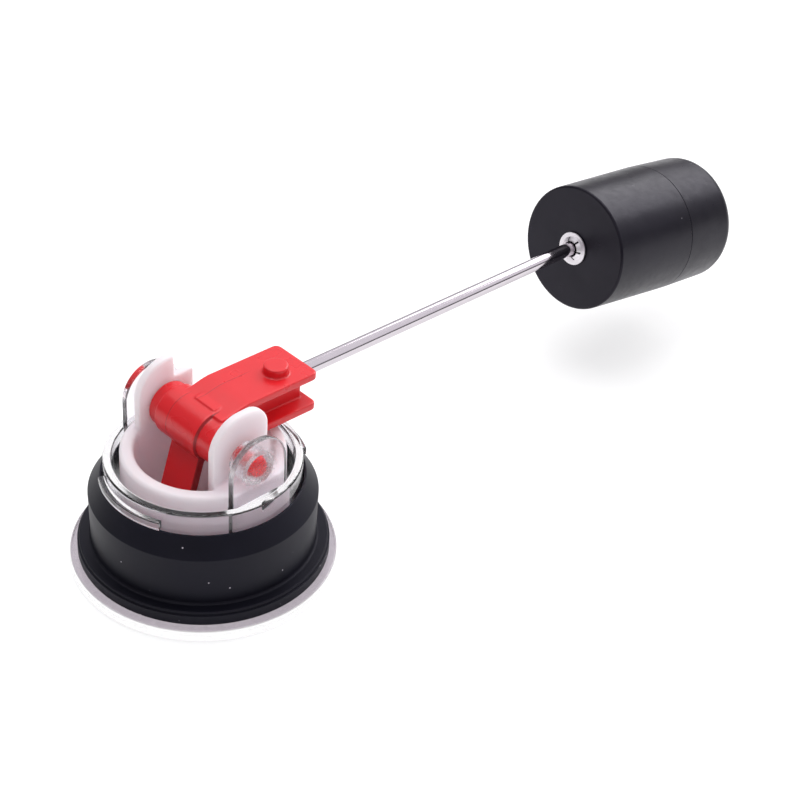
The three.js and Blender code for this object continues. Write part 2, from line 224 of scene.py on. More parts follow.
def mould(piece, voxel, smooth):
    """Melts the piece's solids into one skin with the soft edges of a moulding."""
    skin = piece.modifiers.new("skin", "REMESH")
    skin.mode = "VOXEL"
    skin.voxel_size = voxel
    skin.use_smooth_shade = True
    relax = piece.modifiers.new("relax", "SMOOTH")
    relax.factor = 0.5
    relax.iterations = smooth
    apply_modifiers(piece)


def settle(piece, place, body, nodes, look, sharp=math.radians(32)):
    """Puts a finished piece in the row frame, in metres, on its CAD body."""
    piece.data.transform(place @ Matrix.Scale(MM, 4))
    piece.data.shade_smooth()
    if sharp:
        piece.data.set_sharp_from_angle(angle=sharp)
        even = piece.modifiers.new("even_normals", "WEIGHTED_NORMAL")
        even.keep_sharp = True
    piece.data.materials.clear()
    for one in look if isinstance(look, list) else [look]:
        piece.data.materials.append(one)
    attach(piece, body)
    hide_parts(*nodes)
    return piece


# ---- where the parts are ----------------------------------------------------------------------
JOINTS = {joint["name"]: joint for joint in frame["joints"]}


def lever_place():
    pivot = Vector(JOINTS["arm_pivot"]["pos_m"])
    return Matrix.Translation(pivot) @ Matrix.Rotation(LEVER["rest"], 4, "Y")


def float_place():
    """The float's frame: its origin on the flat face, Z along the rod's end."""
    along = Vector(JOINTS["float_spin"]["axis"]).normalized()
    across = Vector((0, 1, 0))
    down = across.cross(along)
    turn = Matrix((down, across, along)).transposed().to_4x4()
    return Matrix.Translation(Vector(JOINTS["float_spin"]["pos_m"])) @ turn


PIVOT_Z = JOINTS["arm_pivot"]["pos_m"][2] / MM


# ---- material tools ---------------------------------------------------------------------------
def linear(red, green, blue):
    """A colour given as it looks on a screen, 0 to 255, as the light values that a shader takes."""
    values = []
    for level in (red, green, blue):
        c = level / 255
        values.append(c / 12.92 if c <= 0.04045 else ((c + 0.055) / 1.055) ** 2.4)
    return (*values, 1.0)


class Look:
    """One material's node tree, with short ways to add the nodes these materials use."""

    def __init__(self, name):
        self.material = bpy.data.materials.new(name)
        self.material.use_nodes = True
        self.tree = self.material.node_tree
        self.shader = self.tree.nodes["Principled BSDF"]
        self.place = self.add("ShaderNodeTexCoord").outputs["Object"]

    def add(self, kind):
        return self.tree.nodes.new(kind)

    def link(self, source, target):
        self.tree.links.new(source, target)

    def set(self, **values):
        for name, value in values.items():
            self.shader.inputs[name.replace("_", " ")].default_value = value

    def feed(self, name, source):
        self.link(source, self.shader.inputs[name])

    def stretched(self, x, y, z):
        mapping = self.add("ShaderNodeMapping")
        mapping.inputs["Scale"].default_value = (x, y, z)
        self.link(self.place, mapping.inputs["Vector"])
        return mapping.outputs["Vector"]

    def noise(self, scale, detail=3.0, roughness=0.5, where=None):
        node = self.add("ShaderNodeTexNoise")
        node.inputs["Scale"].default_value = scale
        node.inputs["Detail"].default_value = detail
        node.inputs["Roughness"].default_value = roughness
        self.link(where or self.place, node.inputs["Vector"])
        return node.outputs["Fac"]

    def spots(self, scale, size):
        """1 inside small round spots, one to a cell, and 0 between them, with each cell's colour."""
        node = self.add("ShaderNodeTexVoronoi")
        node.inputs["Scale"].default_value = scale
        self.link(self.place, node.inputs["Vector"])
        return self.ranged(node.outputs["Distance"], size, size * 0.55, 0, 1), node.outputs["Color"]

    def dust(self, scale, size, rarity):
        """1 on the few spots whose cell is brighter than rarity."""
        specks, cell = self.spots(scale, size)
        return self.math("MULTIPLY", specks, self.ranged(cell, rarity, rarity + 0.02, 0, 1))

    def ranged(self, value, low, high, out_low, out_high, smooth=False):
        node = self.add("ShaderNodeMapRange")
        node.interpolation_type = "SMOOTHSTEP" if smooth else "LINEAR"
        names = ("From Min", "From Max", "To Min", "To Max")
        for name, number in zip(names, (low, high, out_low, out_high)):
            node.inputs[name].default_value = number
        self.link(value, node.inputs["Value"])
        return node.outputs["Result"]

    def math(self, operation, first, second=None):
        node = self.add("ShaderNodeMath")
        node.operation = operation
        for socket, value in zip(node.inputs, (first, second)):
            if value is None:
                continue
            if isinstance(value, (int, float)):
                socket.default_value = value
            else:
                self.link(value, socket)
        return node.outputs[0]

    def part_of_place(self, axis):
        node = self.add("ShaderNodeSeparateXYZ")
        self.link(self.place, node.inputs[0])
        return node.outputs[axis]

    def away_from(self, point, squash=(1, 1, 1)):
        """Distance from a point, with each axis scaled by squash."""
        mapping = self.add("ShaderNodeMapping")
        mapping.inputs["Scale"].default_value = squash
        mapping.inputs["Location"].default_value = tuple(-p * k for p, k in zip(point, squash))
        self.link(self.place, mapping.inputs["Vector"])
        node = self.add("ShaderNodeVectorMath")
        node.operation = "LENGTH"
        self.link(mapping.outputs["Vector"], node.inputs[0])
        return node.outputs["Value"]

    def line_at(self, axis, at, half):
        """1 within half of a plane across an axis, fading to 0 at twice that."""
        away = self.math("ABSOLUTE", self.math("SUBTRACT", self.part_of_place(axis), at))
        return self.ranged(away, half, 2 * half, 1, 0)

    def within(self, axis, low, high, soft):
        """1 between two planes across an axis, fading to 0 outside them."""
        place = self.part_of_place(axis)
        above = self.ranged(place, low - soft, low, 0, 1)
        return self.math("MULTIPLY", above, self.ranged(place, high, high + soft, 1, 0))

    def mixed(self, share, first, second):
        """Colour first where share is 0 and second where it is 1."""
        node = self.add("ShaderNodeMix")
        node.data_type = "RGBA"
        self.link(share, node.inputs["Factor"])
        for socket, value in ((node.inputs[6], first), (node.inputs[7], second)):
            if isinstance(value, tuple):
                socket.default_value = value
            else:
                self.link(value, socket)
        return node.outputs[2]

    def bump(self, height, distance, strength=1.0, under=None):
        node = self.add("ShaderNodeBump")
        node.inputs["Strength"].default_value = strength
        node.inputs["Distance"].default_value = distance
        self.link(height, node.inputs["Height"])
        if under is not None:
            self.link(under, node.inputs["Normal"])
        return node.outputs["Normal"]


def clear_plastic():
    """Clear moulding: a lens rim greyed by painted shade, a softly frosted barrel rim, and a crumpled
    haze at a pin.
    """
    look = Look("clear_plastic")
    look.set(IOR=1.5, Transmission_Weight=1.0)
    height = look.part_of_place("Z")
    above_lens = look.ranged(height, 0.0040, 0.0046, 0, 1)
    on_lens_top = look.ranged(height, 0.0031, 0.0035, 0, 1)
    outside = look.ranged(look.away_from((0, 0, 0), (1, 1, 0)), 0.0262, 0.0268, 0, 1)
    # Painted shade: a dark tint on the lens rim's top outside the barrel stands in for the shaded floor
    # under the rubber, seen through the clear rim.
    painted_shade_rim = look.math("MULTIPLY", on_lens_top, outside)
    lens = look.mixed(painted_shade_rim, (0.97, 0.96, 0.97, 1), (0.18, 0.15, 0.18, 1))
    look.feed("Base Color", look.mixed(above_lens, lens, (0.90, 0.88, 0.91, 1)))
    near_pin = look.ranged(look.away_from((0, -0.0205, PIVOT_Z * MM)), 0.0105, 0.0045, 0, 1, True)
    on_rim = look.ranged(height, 0.0330, 0.0336, 0, 1)
    frosted = look.math("MULTIPLY", on_rim, look.ranged(height, 0.0345, 0.0365, 0.05, 0.02))
    haze = look.ranged(look.noise(1400, 3.0, 0.6), 0.35, 0.75, 0.06, 0.15)
    hazier = look.math("ADD", look.math("MULTIPLY", near_pin, 0.16), frosted)
    look.feed("Roughness", look.math("ADD", haze, hazier))
    wavy = look.bump(look.noise(110, 2.0), 0.0002, 0.5)
    crumple = look.math("MULTIPLY", look.noise(380, 1.0, 0.4), near_pin)
    look.feed("Normal", look.bump(crumple, 0.0003, 0.4, wavy))
    let_light_through(look, look.mixed(above_lens, (0.80, 0.78, 0.82, 1), (0.92, 0.91, 0.93, 1)))
    return look.material


def let_light_through(look, tint):
    """Lamps' rays pass straight through, so that what is inside is lit."""
    path = look.add("ShaderNodeLightPath")
    clear = look.add("ShaderNodeBsdfTransparent")
    look.link(tint, clear.inputs["Color"])
    mix = look.add("ShaderNodeMixShader")
    look.link(path.outputs["Is Shadow Ray"], mix.inputs[0])
    look.link(look.shader.outputs[0], mix.inputs[1])
    look.link(clear.outputs[0], mix.inputs[2])
    look.link(mix.outputs[0], look.tree.nodes["Material Output"].inputs["Surface"])


def black_rubber():
    look = Look("black_rubber")
    broad = look.noise(45, 3.0, 0.55)
    skin = look.noise(2600, 2.0, 0.6)
    dust = look.dust(330, 0.085, 0.70)
    base = look.mixed(look.ranged(broad, 0.3, 0.7, 0, 1), linear(11, 11, 19), linear(18, 18, 28))
    look.feed("Base Color", look.mixed(dust, base, linear(196, 190, 200)))
    look.feed("Roughness", look.ranged(broad, 0.25, 0.75, 0.42, 0.54))
    look.set(Specular_IOR_Level=0.2, Specular_Tint=(0.86, 0.84, 1.0, 1))
    turning = look.noise(1.0, 2.0, 0.5, look.stretched(40, 40, 3600))
    rings = look.bump(turning, 0.00003, 0.35)
    look.feed("Normal", look.bump(skin, 0.00003, 0.5, rings))
    return look.material


def milky_plastic():
    look = Look("milky_plastic")
    cloud = look.noise(70, 3.0, 0.5)
    grain = look.noise(3200, 2.0, 0.5)
    base = look.mixed(cloud, linear(250, 236, 240), linear(245, 228, 234))
    # Painted glow: a pinkish-red tint round the pin holes stands in for red light from the red pin and
    # hub coming through the milky ears.
    painted_red_glow = look.ranged(look.away_from((0, 0, PIVOT_Z * MM), (1, 0, 1)), 0.0085, 0.002, 0, 0.5, True)
    look.feed("Base Color", look.mixed(painted_red_glow, base, linear(250, 178, 172)))
    look.feed("Roughness", look.ranged(cloud, 0.3, 0.7, 0.34, 0.46))
    look.set(
        Subsurface_Weight=0.85, Subsurface_Radius=(1.0, 0.86, 0.84), Subsurface_Scale=0.008,
        Specular_IOR_Level=0.45,
    )
    look.feed("Normal", look.bump(grain, 0.00002, 0.4))
    return look.material


def dial_white():
    look = Look("dial_white")
    fibre = look.noise(900, 4.0, 0.6)
    look.feed("Base Color", look.mixed(fibre, linear(238, 236, 232), linear(226, 224, 220)))
    look.feed("Roughness", look.ranged(fibre, 0.3, 0.7, 0.5, 0.62))
    look.feed("Normal", look.bump(fibre, 0.00002, 0.4))
    return look.material


def dial_ink():
    look = Look("dial_ink")
    patchy = look.noise(1500, 3.0, 0.6)
    look.feed("Base Color", look.mixed(patchy, linear(22, 22, 26), linear(38, 38, 44)))
    look.feed("Roughness", look.ranged(patchy, 0.3, 0.7, 0.4, 0.6))
    return look.material


def red_plastic():
    look = Look("red_plastic")
    cloud = look.noise(60, 3.0, 0.5)
    grain = look.noise(2400, 2.0, 0.5)
    flow = look.noise(1.0, 2.0, 0.5, look.stretched(25, 420, 420))
    on_hub = look.within("X", -0.02, 0.0, 0.002)
    seam = look.math("MULTIPLY", look.line_at("Y", 0.0066, 0.00009), 0.45)
    # Painted shade: a dark line at the hub's near step stands in for the shade in its groove; the seam
    # and the plate line are moulding lines.
    step = look.math("MULTIPLY", look.line_at("Y", HUB["near_step"] * MM, 0.00018), 0.8)
    hub_seam_and_step_shade = look.math("MULTIPLY", look.math("MAXIMUM", seam, step), on_hub)
    on_plate = look.within("X", 0.002, 0.016, 0.003)
    faint = look.math("MULTIPLY", on_plate, 0.4)
    plate_mark = look.math("MULTIPLY", look.line_at("Y", 0.0028, 0.00009), faint)
    seams_and_step_shade = look.math("MAXIMUM", hub_seam_and_step_shade, plate_mark)
    base = look.mixed(cloud, linear(226, 34, 42), linear(213, 26, 34))
    # Dark moulding lines, with painted shade at the hub's step.
    look.feed("Base Color", look.mixed(seams_and_step_shade, base, linear(128, 8, 16)))
    look.feed("Roughness", look.ranged(cloud, 0.3, 0.7, 0.24, 0.36))
    look.set(Specular_IOR_Level=0.5, Subsurface_Weight=0.12, Subsurface_Radius=(1.0, 0.12, 0.1))
    look.set(Subsurface_Scale=0.0015)
    flowed = look.bump(flow, 0.00004, 0.2)
    grained = look.bump(grain, 0.00002, 0.4, flowed)
    look.feed("Normal", look.bump(look.math("MULTIPLY", seams_and_step_shade, -1.0), 0.0001, 0.8, grained))
    return look.material


def polished_steel(name, shiniest, dullest, bright, dull):
    """Drawn or pressed steel, with its roughness and colours given."""
    look = Look(name)
    drawn = look.noise(1.0, 3.0, 0.6, look.stretched(12, 2600, 2600))
    patch = look.noise(180, 3.0, 0.6)
    look.feed("Base Color", look.mixed(patch, bright, dull))
    look.set(Metallic=1.0)
    look.feed("Roughness", look.ranged(drawn, 0.25, 0.75, shiniest, dullest))
    look.feed("Normal", look.bump(drawn, 0.00002, 0.18))
    return look.material


def black_plastic():
    look = Look("black_plastic")
    broad = look.noise(38, 3.0, 0.55)
    grain = look.noise(2100, 3.0, 0.6)
    dust = look.dust(260, 0.07, 0.76)
    base = look.mixed(look.ranged(broad, 0.3, 0.7, 0, 1), linear(14, 12, 20), linear(21, 19, 28))
    look.feed("Base Color", look.mixed(look.math("MULTIPLY", dust, 0.5), base, linear(150, 146, 154)))
    scuffed = look.noise(420, 5.0, 0.7)
    look.feed("Roughness", look.ranged(scuffed, 0.3, 0.75, 0.27, 0.42))
    look.set(Specular_IOR_Level=0.27, Specular_Tint=(0.88, 0.84, 1.0, 1))
    sunk = look.bump(look.noise(55, 2.0, 0.5), 0.0007, 0.45)
    look.feed("Normal", look.bump(grain, 0.00003, 0.45, sunk))
    return look.material


# ---- housing ----------------------------------------------------------------------------------
def make_housing(look):
    r, high, edge = LENS["r"], LENS["high"], LENS["edge"]
    outer, inner, top, lip = BARREL["outer"], BARREL["inner"], BARREL["top"], BARREL["edge"]
    piece = as_object("clear_housing", lathe(round_corners([
        (0, 0, 0), (r, 0, edge), (r, high, edge), (outer, high, BARREL["root"]), (outer, top, lip),
        (inner, top, lip), (inner, high, BARREL["root"]), (0, high, 0),
    ])))
    for middle in (0, 180):
        combine(piece, snap_rib(middle), "UNION")
    for boss_y, side in ((LUG["near_boss"], -1), (LUG["far_boss"], 1)):
        combine(piece, lug_plate(side), "UNION")
        combine(piece, lug_web(side), "UNION")
        combine(piece, lug_boss(boss_y, side), "UNION")
        combine(piece, lug_socket(boss_y, side), "DIFFERENCE")
    combine(piece, bump_at(NUB, NUB["z"]), "UNION")
    combine(piece, bump_at(DOME, PIVOT_Z), "UNION")
    return settle(piece, Matrix.Identity(4), "housing", ["lens_housing"], look)


def snap_rib(middle):
    half = math.degrees(RIB["half_angle"])
    inner = (BARREL["outer"] + BARREL["inner"]) / 2
    outline = arc(0, 0, RIB["r"], middle - half, middle + half, 30)
    outline += arc(0, 0, inner, middle + half, middle - half, 30)
    return prism(outline, RIB["low"], RIB["high"], RIB["edge"])


def lug_plate(side):
    """A thin clear post with a round top."""
    half, foot = LUG["half"], LUG["foot"]
    outline = [(-half, foot), (half, foot)] + arc(0, PIVOT_Z, half, 0, 180, 60)
    span = sorted((side * LUG["inner"], side * LUG["outer"]))
    return to_xz(prism(outline, *span, LUG["edge"]))


def lug_web(side):
    """The thicker foot of a lug, which joins it to the barrel's wall."""
    inset = 0.02
    half = LUG["half"] - inset
    span = sorted((side * (LUG["inner"] + inset), side * LUG["web_y"]))
    return block(-half, half, *span, LUG["foot"], LUG["web_top"], 0.3)


def lug_boss(boss_y, side):
    """The boss on a lug that faces the cup's ear, round the end of a pin."""
    middle = side * (LUG["inner"] + LUG["outer"]) / 2
    return cross_pin(LUG["boss_r"], *sorted((boss_y, middle)), PIVOT_Z, 0.6)


def lug_socket(boss_y, side):
    span = sorted((boss_y - 1.5 * side, side * LUG["socket_end"]))
    return cross_pin(PIN["hole_r"], *span, PIVOT_Z, 0.35)


def bump_at(size, z):
    """A round-topped bump on the housing's near side, at the height z."""
    bm = bmesh.new()
    bmesh.ops.create_icosphere(bm, subdivisions=5, radius=1)
    shape = Matrix.Diagonal((size["half_x"], size["half_y"], size["half_z"], 1))
    bm.transform(Matrix.Translation((0, size["y"], z)) @ shape)
    return bm


def make_grommet(look):
    g = GROMMET
    edge = 0.35
    step_r = g["flange_r"] - g["step"]
    outline = round_corners([
        (g["bore"], g["low"], 0.2), (g["flange_r"], g["low"], edge), (g["flange_r"], g["step_z"], 0.12),
        (step_r, g["step_z"], 0.08), (step_r, g["seat"], 0.3), (g["neck_r"] + 0.05, g["seat"], g["root"]),
        (g["shoulder_r"], g["shoulder"], 0.5), (g["lip_r"], g["lip"], 0.18), (g["bore"], g["lip"], 0.18),
    ], 6)
    piece = as_object("rubber_sleeve", lathe(outline, 240))
    return settle(piece, Matrix.Identity(4), "housing", ["rubber_grommet"], look)


def make_cup(look):
    c = CUP
    floor_top = c["low"] + c["floor"]
    piece = as_object("milky_cup", lathe(round_corners([
        (0, c["low"], 0), (c["outer"], c["low"], 0.6), (c["outer"], c["top"], c["edge"]),
        (c["mouth"], c["top"], c["edge"]), (c["floor_r"], floor_top, 1.2), (0, floor_top, 0),
    ])))
    flat, reach = c["flat"], 2 * c["outer"]
    combine(piece, block(-reach, reach, -flat, flat, 0, 2 * reach), "INTERSECT")
    combine(piece, ear(EAR["near"], EAR["near_top"]), "UNION")
    combine(piece, ear(EAR["far"], EAR["far_top"]), "UNION")
    combine(piece, ear_root(-flat, EAR["near"] + EAR["thick"]), "UNION")
    combine(piece, ear_root(EAR["far"], flat), "UNION")
    notch = block(EAR["notch_x"], 2 * EAR["half"], 10, reach, EAR["notch_z"], 2 * EAR["far_top"])
    combine(piece, notch, "DIFFERENCE")
    low = c["low"] + c["floor"] / 2
    y = WINDOW["y"]
    sides = (y - STOP["half_y"], y + STOP["half_y"])
    stop = block(STOP["back"], STOP["face"], *sides, low, low + STOP["high"])
    combine(piece, stop, "UNION")
    combine(piece, cross_pin(PIN["hole_r"], -c["outer"], c["outer"], PIVOT_Z), "DIFFERENCE")
    combine(piece, prism(window_outline(WINDOW, 1.0), 0, floor_top + GAP), "DIFFERENCE")
    mould(piece, c["voxel"], c["smooth"])
    return settle(piece, Matrix.Identity(4), "housing", ["inner_cup"], look, sharp=None)


def window_outline(size, corner):
    x, y = size["half_x"], size["half_y"]
    middle = WINDOW["y"]
    low, high = middle - y, middle + y
    return round_corners([(-x, low, corner), (x, low, corner), (x, high, corner), (-x, high, corner)])


def ear(y, top):
    """A tall plate with a large round corner at -X and a smaller one at +X."""
    half = EAR["half"]
    outline = [(-half, CUP["low"]), (half, CUP["low"])]
    outline += arc(half - EAR["trail_r"], top - EAR["trail_r"], EAR["trail_r"], 0, 90, 12)
    outline += arc(EAR["lead_r"] - half, top - EAR["lead_r"], EAR["lead_r"], 90, 180, 16)
    return to_xz(prism(outline, y, y + EAR["thick"], 0.3))


def ear_root(low, high):
    """The thick root of an ear, which joins it to the ring."""
    inset = 0.02
    reach, side = CUP["mouth"] + 1, EAR["half"] - inset
    steps = 16
    corner = math.degrees(math.asin(side / reach))
    start, end = (-90 - corner, -90 + corner) if low < 0 else (90 - corner, 90 + corner)
    face = high if low < 0 else low
    outline = arc(0, 0, reach, start, end, steps)
    outline += [(side, face), (-side, face)] if low < 0 else [(-side, face), (side, face)]
    return prism(outline, CUP["low"] + inset, CUP["top"] - inset)


def make_dial(look, ink):
    low, high = DIAL["low"], DIAL["low"] + DIAL["thick"]
    edge = 0.12
    r = DIAL["r"]
    disc = lathe(round_corners([(0, low, 0), (r, low, edge), (r, high, edge), (0, high, 0)], 3))
    piece = as_object("scale_plate", disc)
    flats = block(-DIAL["r"] - 1, DIAL["r"] + 1, -DIAL["flat"], DIAL["flat"], 0, CUP["top"])
    combine(piece, flats, "INTERSECT")
    combine(piece, prism(window_outline(DIAL, DIAL["half_y"] * 0.98), 0, high + GAP), "DIFFERENCE")
    settle(piece, Matrix.Identity(4), "housing", ["dial_plate"], look)
    marks = as_object("scale_marks", scale_marks())
    settle(marks, Matrix.Identity(4), "housing", [], ink)
    return piece


def scale_marks():
    """Printed bars on the dial's underside, along the window that the pointer shows through."""
    bm = bmesh.new()
    print_depth = 0.04
    bars = 17
    for i in range(bars):
        share = i / (bars - 1) - 0.5
        x = share * 2 * (DIAL["half_x"] - 2.0)
        long_bar = i % 4 == 0
        reach = 3.4 if long_bar else 2.0
        half = 0.3 if long_bar else 0.16
        y = WINDOW["y"] + DIAL["half_y"] + 1.0
        bar = block(x - half, x + half, y, y + reach, DIAL["low"] - print_depth, DIAL["low"] - 0.005)
        mesh = bpy.data.meshes.new("bar")
        bar.to_mesh(mesh)
        bar.free()
        bm.from_mesh(mesh)
        bpy.data.meshes.remove(mesh)
    return bm


# ---- lever ------------------------------------------------------------------------------------
def make_lever(look):
    piece = as_object("red_lever", cross_pin(HUB["end_r"], HUB["near_end"], HUB["far_end"], 0, 0.45))
    combine(piece, cross_pin(HUB["mid_r"], HUB["near_step"], HUB["far_step"], 0, 0.35), "UNION")
    for solid in arm_solids() + [leg(), boss()]:
        combine(piece, solid, "UNION")
    combine(piece, cross_pin(PIN["r"], -PIN["end"], PIN["end"], 0, 0.3, 32), "UNION")
    combine(piece, rod_socket(), "DIFFERENCE")
    mould(piece, LEVER["voxel"], LEVER["smooth"])
    return settle(piece, lever_place(), "lever", ["pointer_lever"], look, sharp=None)


def arm_solids():
    """The arm is a channel: two plates with a thick web between them."""
    a = ARM
    root_corner = 0.8
    plans = []
    for start, low in ((a["start"], a["top"] - a["plate"]), (2 * a["corner"], a["low"])):
        corners = [
            (start, -a["half"], root_corner), (a["end"], -a["half"], a["corner"]),
            (a["end"], a["half"], a["corner"]), (start, a["half"], root_corner),
        ]
        plans.append(as_object("plate", prism(round_corners(corners), low, low + a["plate"], 0.2)))
    combine(plans[0], arm_ramp(), "INTERSECT")
    inset = a["plate"] / 2
    web = block(0, a["web_end"], -a["web_half"], a["web_half"], a["low"] + inset, a["top"] - inset, 0.1)
    return [loose_mesh(plan) for plan in plans] + [web]


def arm_ramp():
    """Everything under a smooth rise from the hub's top to the upper plate's top."""
    a = ARM
    steps = 12
    rise = []
    for i in range(steps + 1):
        share = i / steps
        eased = share * share * (3 - 2 * share)
        x = a["start"] + share * (a["ramp_end"] - a["start"])
        rise.append((x, a["ramp_low"] + eased * (a["top"] - a["ramp_low"])))
    outline = [(a["start"] - 1, a["low"]), (a["end"] + 1, a["low"]), (a["end"] + 1, a["top"] + 1)]
    outline += [(a["ramp_end"] + 1, a["top"] + 1), *reversed(rise), (a["start"] - 1, a["ramp_low"])]
    return to_xz(prism(outline, -a["half"] - 1, a["half"] + 1))


def loose_mesh(piece):
    """The piece's shape on its own, with its object removed."""
    bm = bmesh.new()
    bm.from_mesh(piece.data)
    bpy.data.objects.remove(piece)
    return bm


def boss():
    outline = arc(BOSS["x"], BOSS["y"], BOSS["r"], 0, 352.5, 47)
    return prism(outline, ARM["top"] - 1, ARM["top"] + BOSS["high"], 0.35)


def leg():
    """A flat leg that narrows to the pointer, cut from its face outline and its side outline."""
    half, tip, shoulder = LEG["half"], LEG["tip"], LEG["shoulder"]
    y = LEG["y"]
    face = [
        (y - half, 0), (y - half, -shoulder), (y - LEG["tip_half"], -tip), (y + LEG["tip_half"], -tip),
        (y + half, -shoulder), (y + half, 0),
    ]
    slab = prism(face, -HUB["mid_r"], HUB["mid_r"], 0)
    slab.transform(Matrix(((0, 0, 1, 0), (1, 0, 0, 0), (0, 1, 0, 0), (0, 0, 0, 1))))
    bmesh.ops.recalc_face_normals(slab, faces=slab.faces)
    back, thick = LEG["back"], LEG["thick"]
    side = [
        (back, 0), (back, -tip), (back + LEG["tip_thick"], -tip), (back + thick, -shoulder),
        (back + thick, 0),
    ]
    carved = as_object("leg", slab)
    combine(carved, to_xz(prism(side, y - half - 1, y + half + 1)), "INTERSECT")
    bm = loose_mesh(carved)
    bm.transform(Matrix.Rotation(LEG["lean"], 4, "Y"))
    return bm


def rod_socket():
    outline = arc(0, ROD["z"], ROD["r"] + GAP, 0, 348.75, 31)
    bm = prism(outline, ROD["start"] - GAP, ARM["end"] + 5)
    bm.transform(Matrix(((0, 0, 1, 0), (1, 0, 0, 0), (0, 1, 0, 0), (0, 0, 0, 1))))
    bmesh.ops.recalc_face_normals(bm, faces=bm.faces)
    return bm


# ---- rod --------------------------------------------------------------------------------------
def rod_path():
    """(x, z, slope) along the rod's centreline in the lever's frame, slope being its droop."""
    tilt, radius = ROD["tilt"], ROD["bend_r"]
    points = [(ROD["start"] + (ROD["bend_at"] - ROD["start"]) * i / 30, 0.0, 0.0) for i in range(31)]
    for i in range(1, 17):
        angle = tilt * i / 16
        x = ROD["bend_at"] + radius * math.sin(angle)
        points.append((x, -radius * (1 - math.cos(angle)), angle))
    x, z, _ = points[-1]
    rest = FLOAT["face_at"] - x + FLOAT["length"] + 3
    for i in range(1, 17):
        along = rest * i / 16
        points.append((x + along * math.cos(tilt), z - along * math.sin(tilt), tilt))
    return points


def make_rod(look):
    path = rod_path()
    chamfer = 0.35
    bm = bmesh.new()
    rings = []
    for x, z, slope in path:
        rings.append(rod_ring(bm, x, z, slope, ROD["r"]))
    for end in (0, -1):
        x, z, slope = path[end]
        sign = -1 if end == 0 else 1
        shift = sign * chamfer
        end_x, end_z = x + shift * math.cos(slope), z - shift * math.sin(slope)
        ring = rod_ring(bm, end_x, end_z, slope, ROD["r"] - chamfer)
        rings.insert(0 if end == 0 else len(rings), ring)
    for ring, following in zip(rings, rings[1:]):
        for i in range(SMALL_ROUND):
            j = (i + 1) % SMALL_ROUND
            bm.faces.new([ring[i], ring[j], following[j], following[i]])
    bm.faces.new(rings[0])
    bm.faces.new(rings[-1])
    bmesh.ops.recalc_face_normals(bm, faces=bm.faces)
    piece = as_object("steel_rod", bm)
    return settle(piece, lever_place(), "lever", ["float_rod"], look)


def rod_ring(bm, x, z, slope, radius):
    ring = []
    for i in range(SMALL_ROUND):
        turn = 2 * math.pi * i / SMALL_ROUND
        up = radius * math.sin(turn)
        ring.append(bm.verts.new((
            x + up * math.sin(slope), radius * math.cos(turn), ROD["z"] + z + up * math.cos(slope),
        )))
    return ring


# ---- float and retainers ----------------------------------------------------------------------
def make_float(look):
    f = FLOAT
    gap, wall = f["seam_gap"], f["wall"]
    middle = f["seam"] + GAP / 2
    body = as_object("float_near_half", lathe(round_corners([
        (f["bore"], 0, 0.25), (f["face_r"], 0, f["face_edge"]), (f["seam_r"], middle - gap, 0.14),
        (f["seam_r"] - wall, middle - gap, 0), (f["face_r"] - wall, wall, 1), (f["tube"], wall, 1),
        (f["tube"], f["length"] - wall - GAP, 0), (f["bore"], f["length"] - wall - GAP, 0),
    ], 6)))
    settle(body, float_place(), "float", ["float_body"], look)
    cap = as_object("float_far_half", lathe(round_corners([
        (f["seam_r"] - wall, middle + gap, 0), (f["seam_r"], middle + gap, 0.14),
        (f["end_r"], f["length"], f["end_edge"]), (f["bore"], f["length"], 0.25),
        (f["bore"], f["length"] - wall, 0), (f["end_r"] - wall, f["length"] - wall, f["end_edge"] - wall),
    ], 8)))
    settle(cap, float_place(), "float", ["float_cap"], look)
    return body, cap


def make_retainer(name, node, look, flipped):
    """A push-on retainer: a flat rim with slotted teeth that rise towards the rod."""
    bm = retainer_skin()
    piece = as_object(name, bm)
    thick = piece.modifiers.new("thickness", "SOLIDIFY")
    thick.thickness = RETAINER["thick"]
    thick.offset = 1.0
    soft = piece.modifiers.new("edges", "BEVEL")
    soft.width = 0.09
    soft.segments = 2
    soft.limit_method = "ANGLE"
    soft.angle_limit = math.radians(50)
    apply_modifiers(piece)
    lift = Matrix.Translation((0, 0, (-GAP if flipped else FLOAT["length"] + GAP) * MM))
    turn = Matrix.Rotation(math.pi if flipped else 0.0, 4, "X")
    return settle(piece, float_place() @ lift @ turn, "lever", [node], look)


def retainer_skin():
    """The retainer's lower surface as a polar grid, with the slots left out."""
    r = RETAINER
    columns = 144
    radii = [r["tip_r"], 2.6, 2.95, r["root_r"], 3.6, 4.2, 4.75, r["r"]]
    bm = bmesh.new()
    grid = []
    for radius in radii:
        rise = r["rise"] * max(0.0, (r["root_r"] + 0.25 - radius) / (r["root_r"] + 0.25 - r["tip_r"]))
        ring = []
        for i in range(columns):
            turn = 2 * math.pi * i / columns
            ring.append(bm.verts.new((radius * math.cos(turn), radius * math.sin(turn), rise)))
        grid.append(ring)
    period = columns // r["teeth"]
    for row in range(len(radii) - 1):
        for i in range(columns):
            in_slot = abs((i % period) + 0.5 - period / 2) < r["slot"] * period / 2
            if in_slot and radii[row] < r["root_r"]:
                continue
            j = (i + 1) % columns
            bm.faces.new([grid[row][i], grid[row][j], grid[row + 1][j], grid[row + 1][i]])
    loose = [v for v in bm.verts if not v.link_faces]
    bmesh.ops.delete(bm, geom=loose, context="VERTS")
    bmesh.ops.recalc_face_normals(bm, faces=bm.faces)
    if sum(face.normal.z for face in bm.faces) < 0:
        bmesh.ops.reverse_faces(bm, faces=bm.faces)
    return bm


# ---- stage ------------------------------------------------------------------------------------
CAMERA = {
    "at": (-0.2896, -0.3588, 0.3915), "look": (0.5728, 0.5675, -0.5916), "roll": -0.058, "lens": 98.93,
}
FLOOR_HALF = 6.0


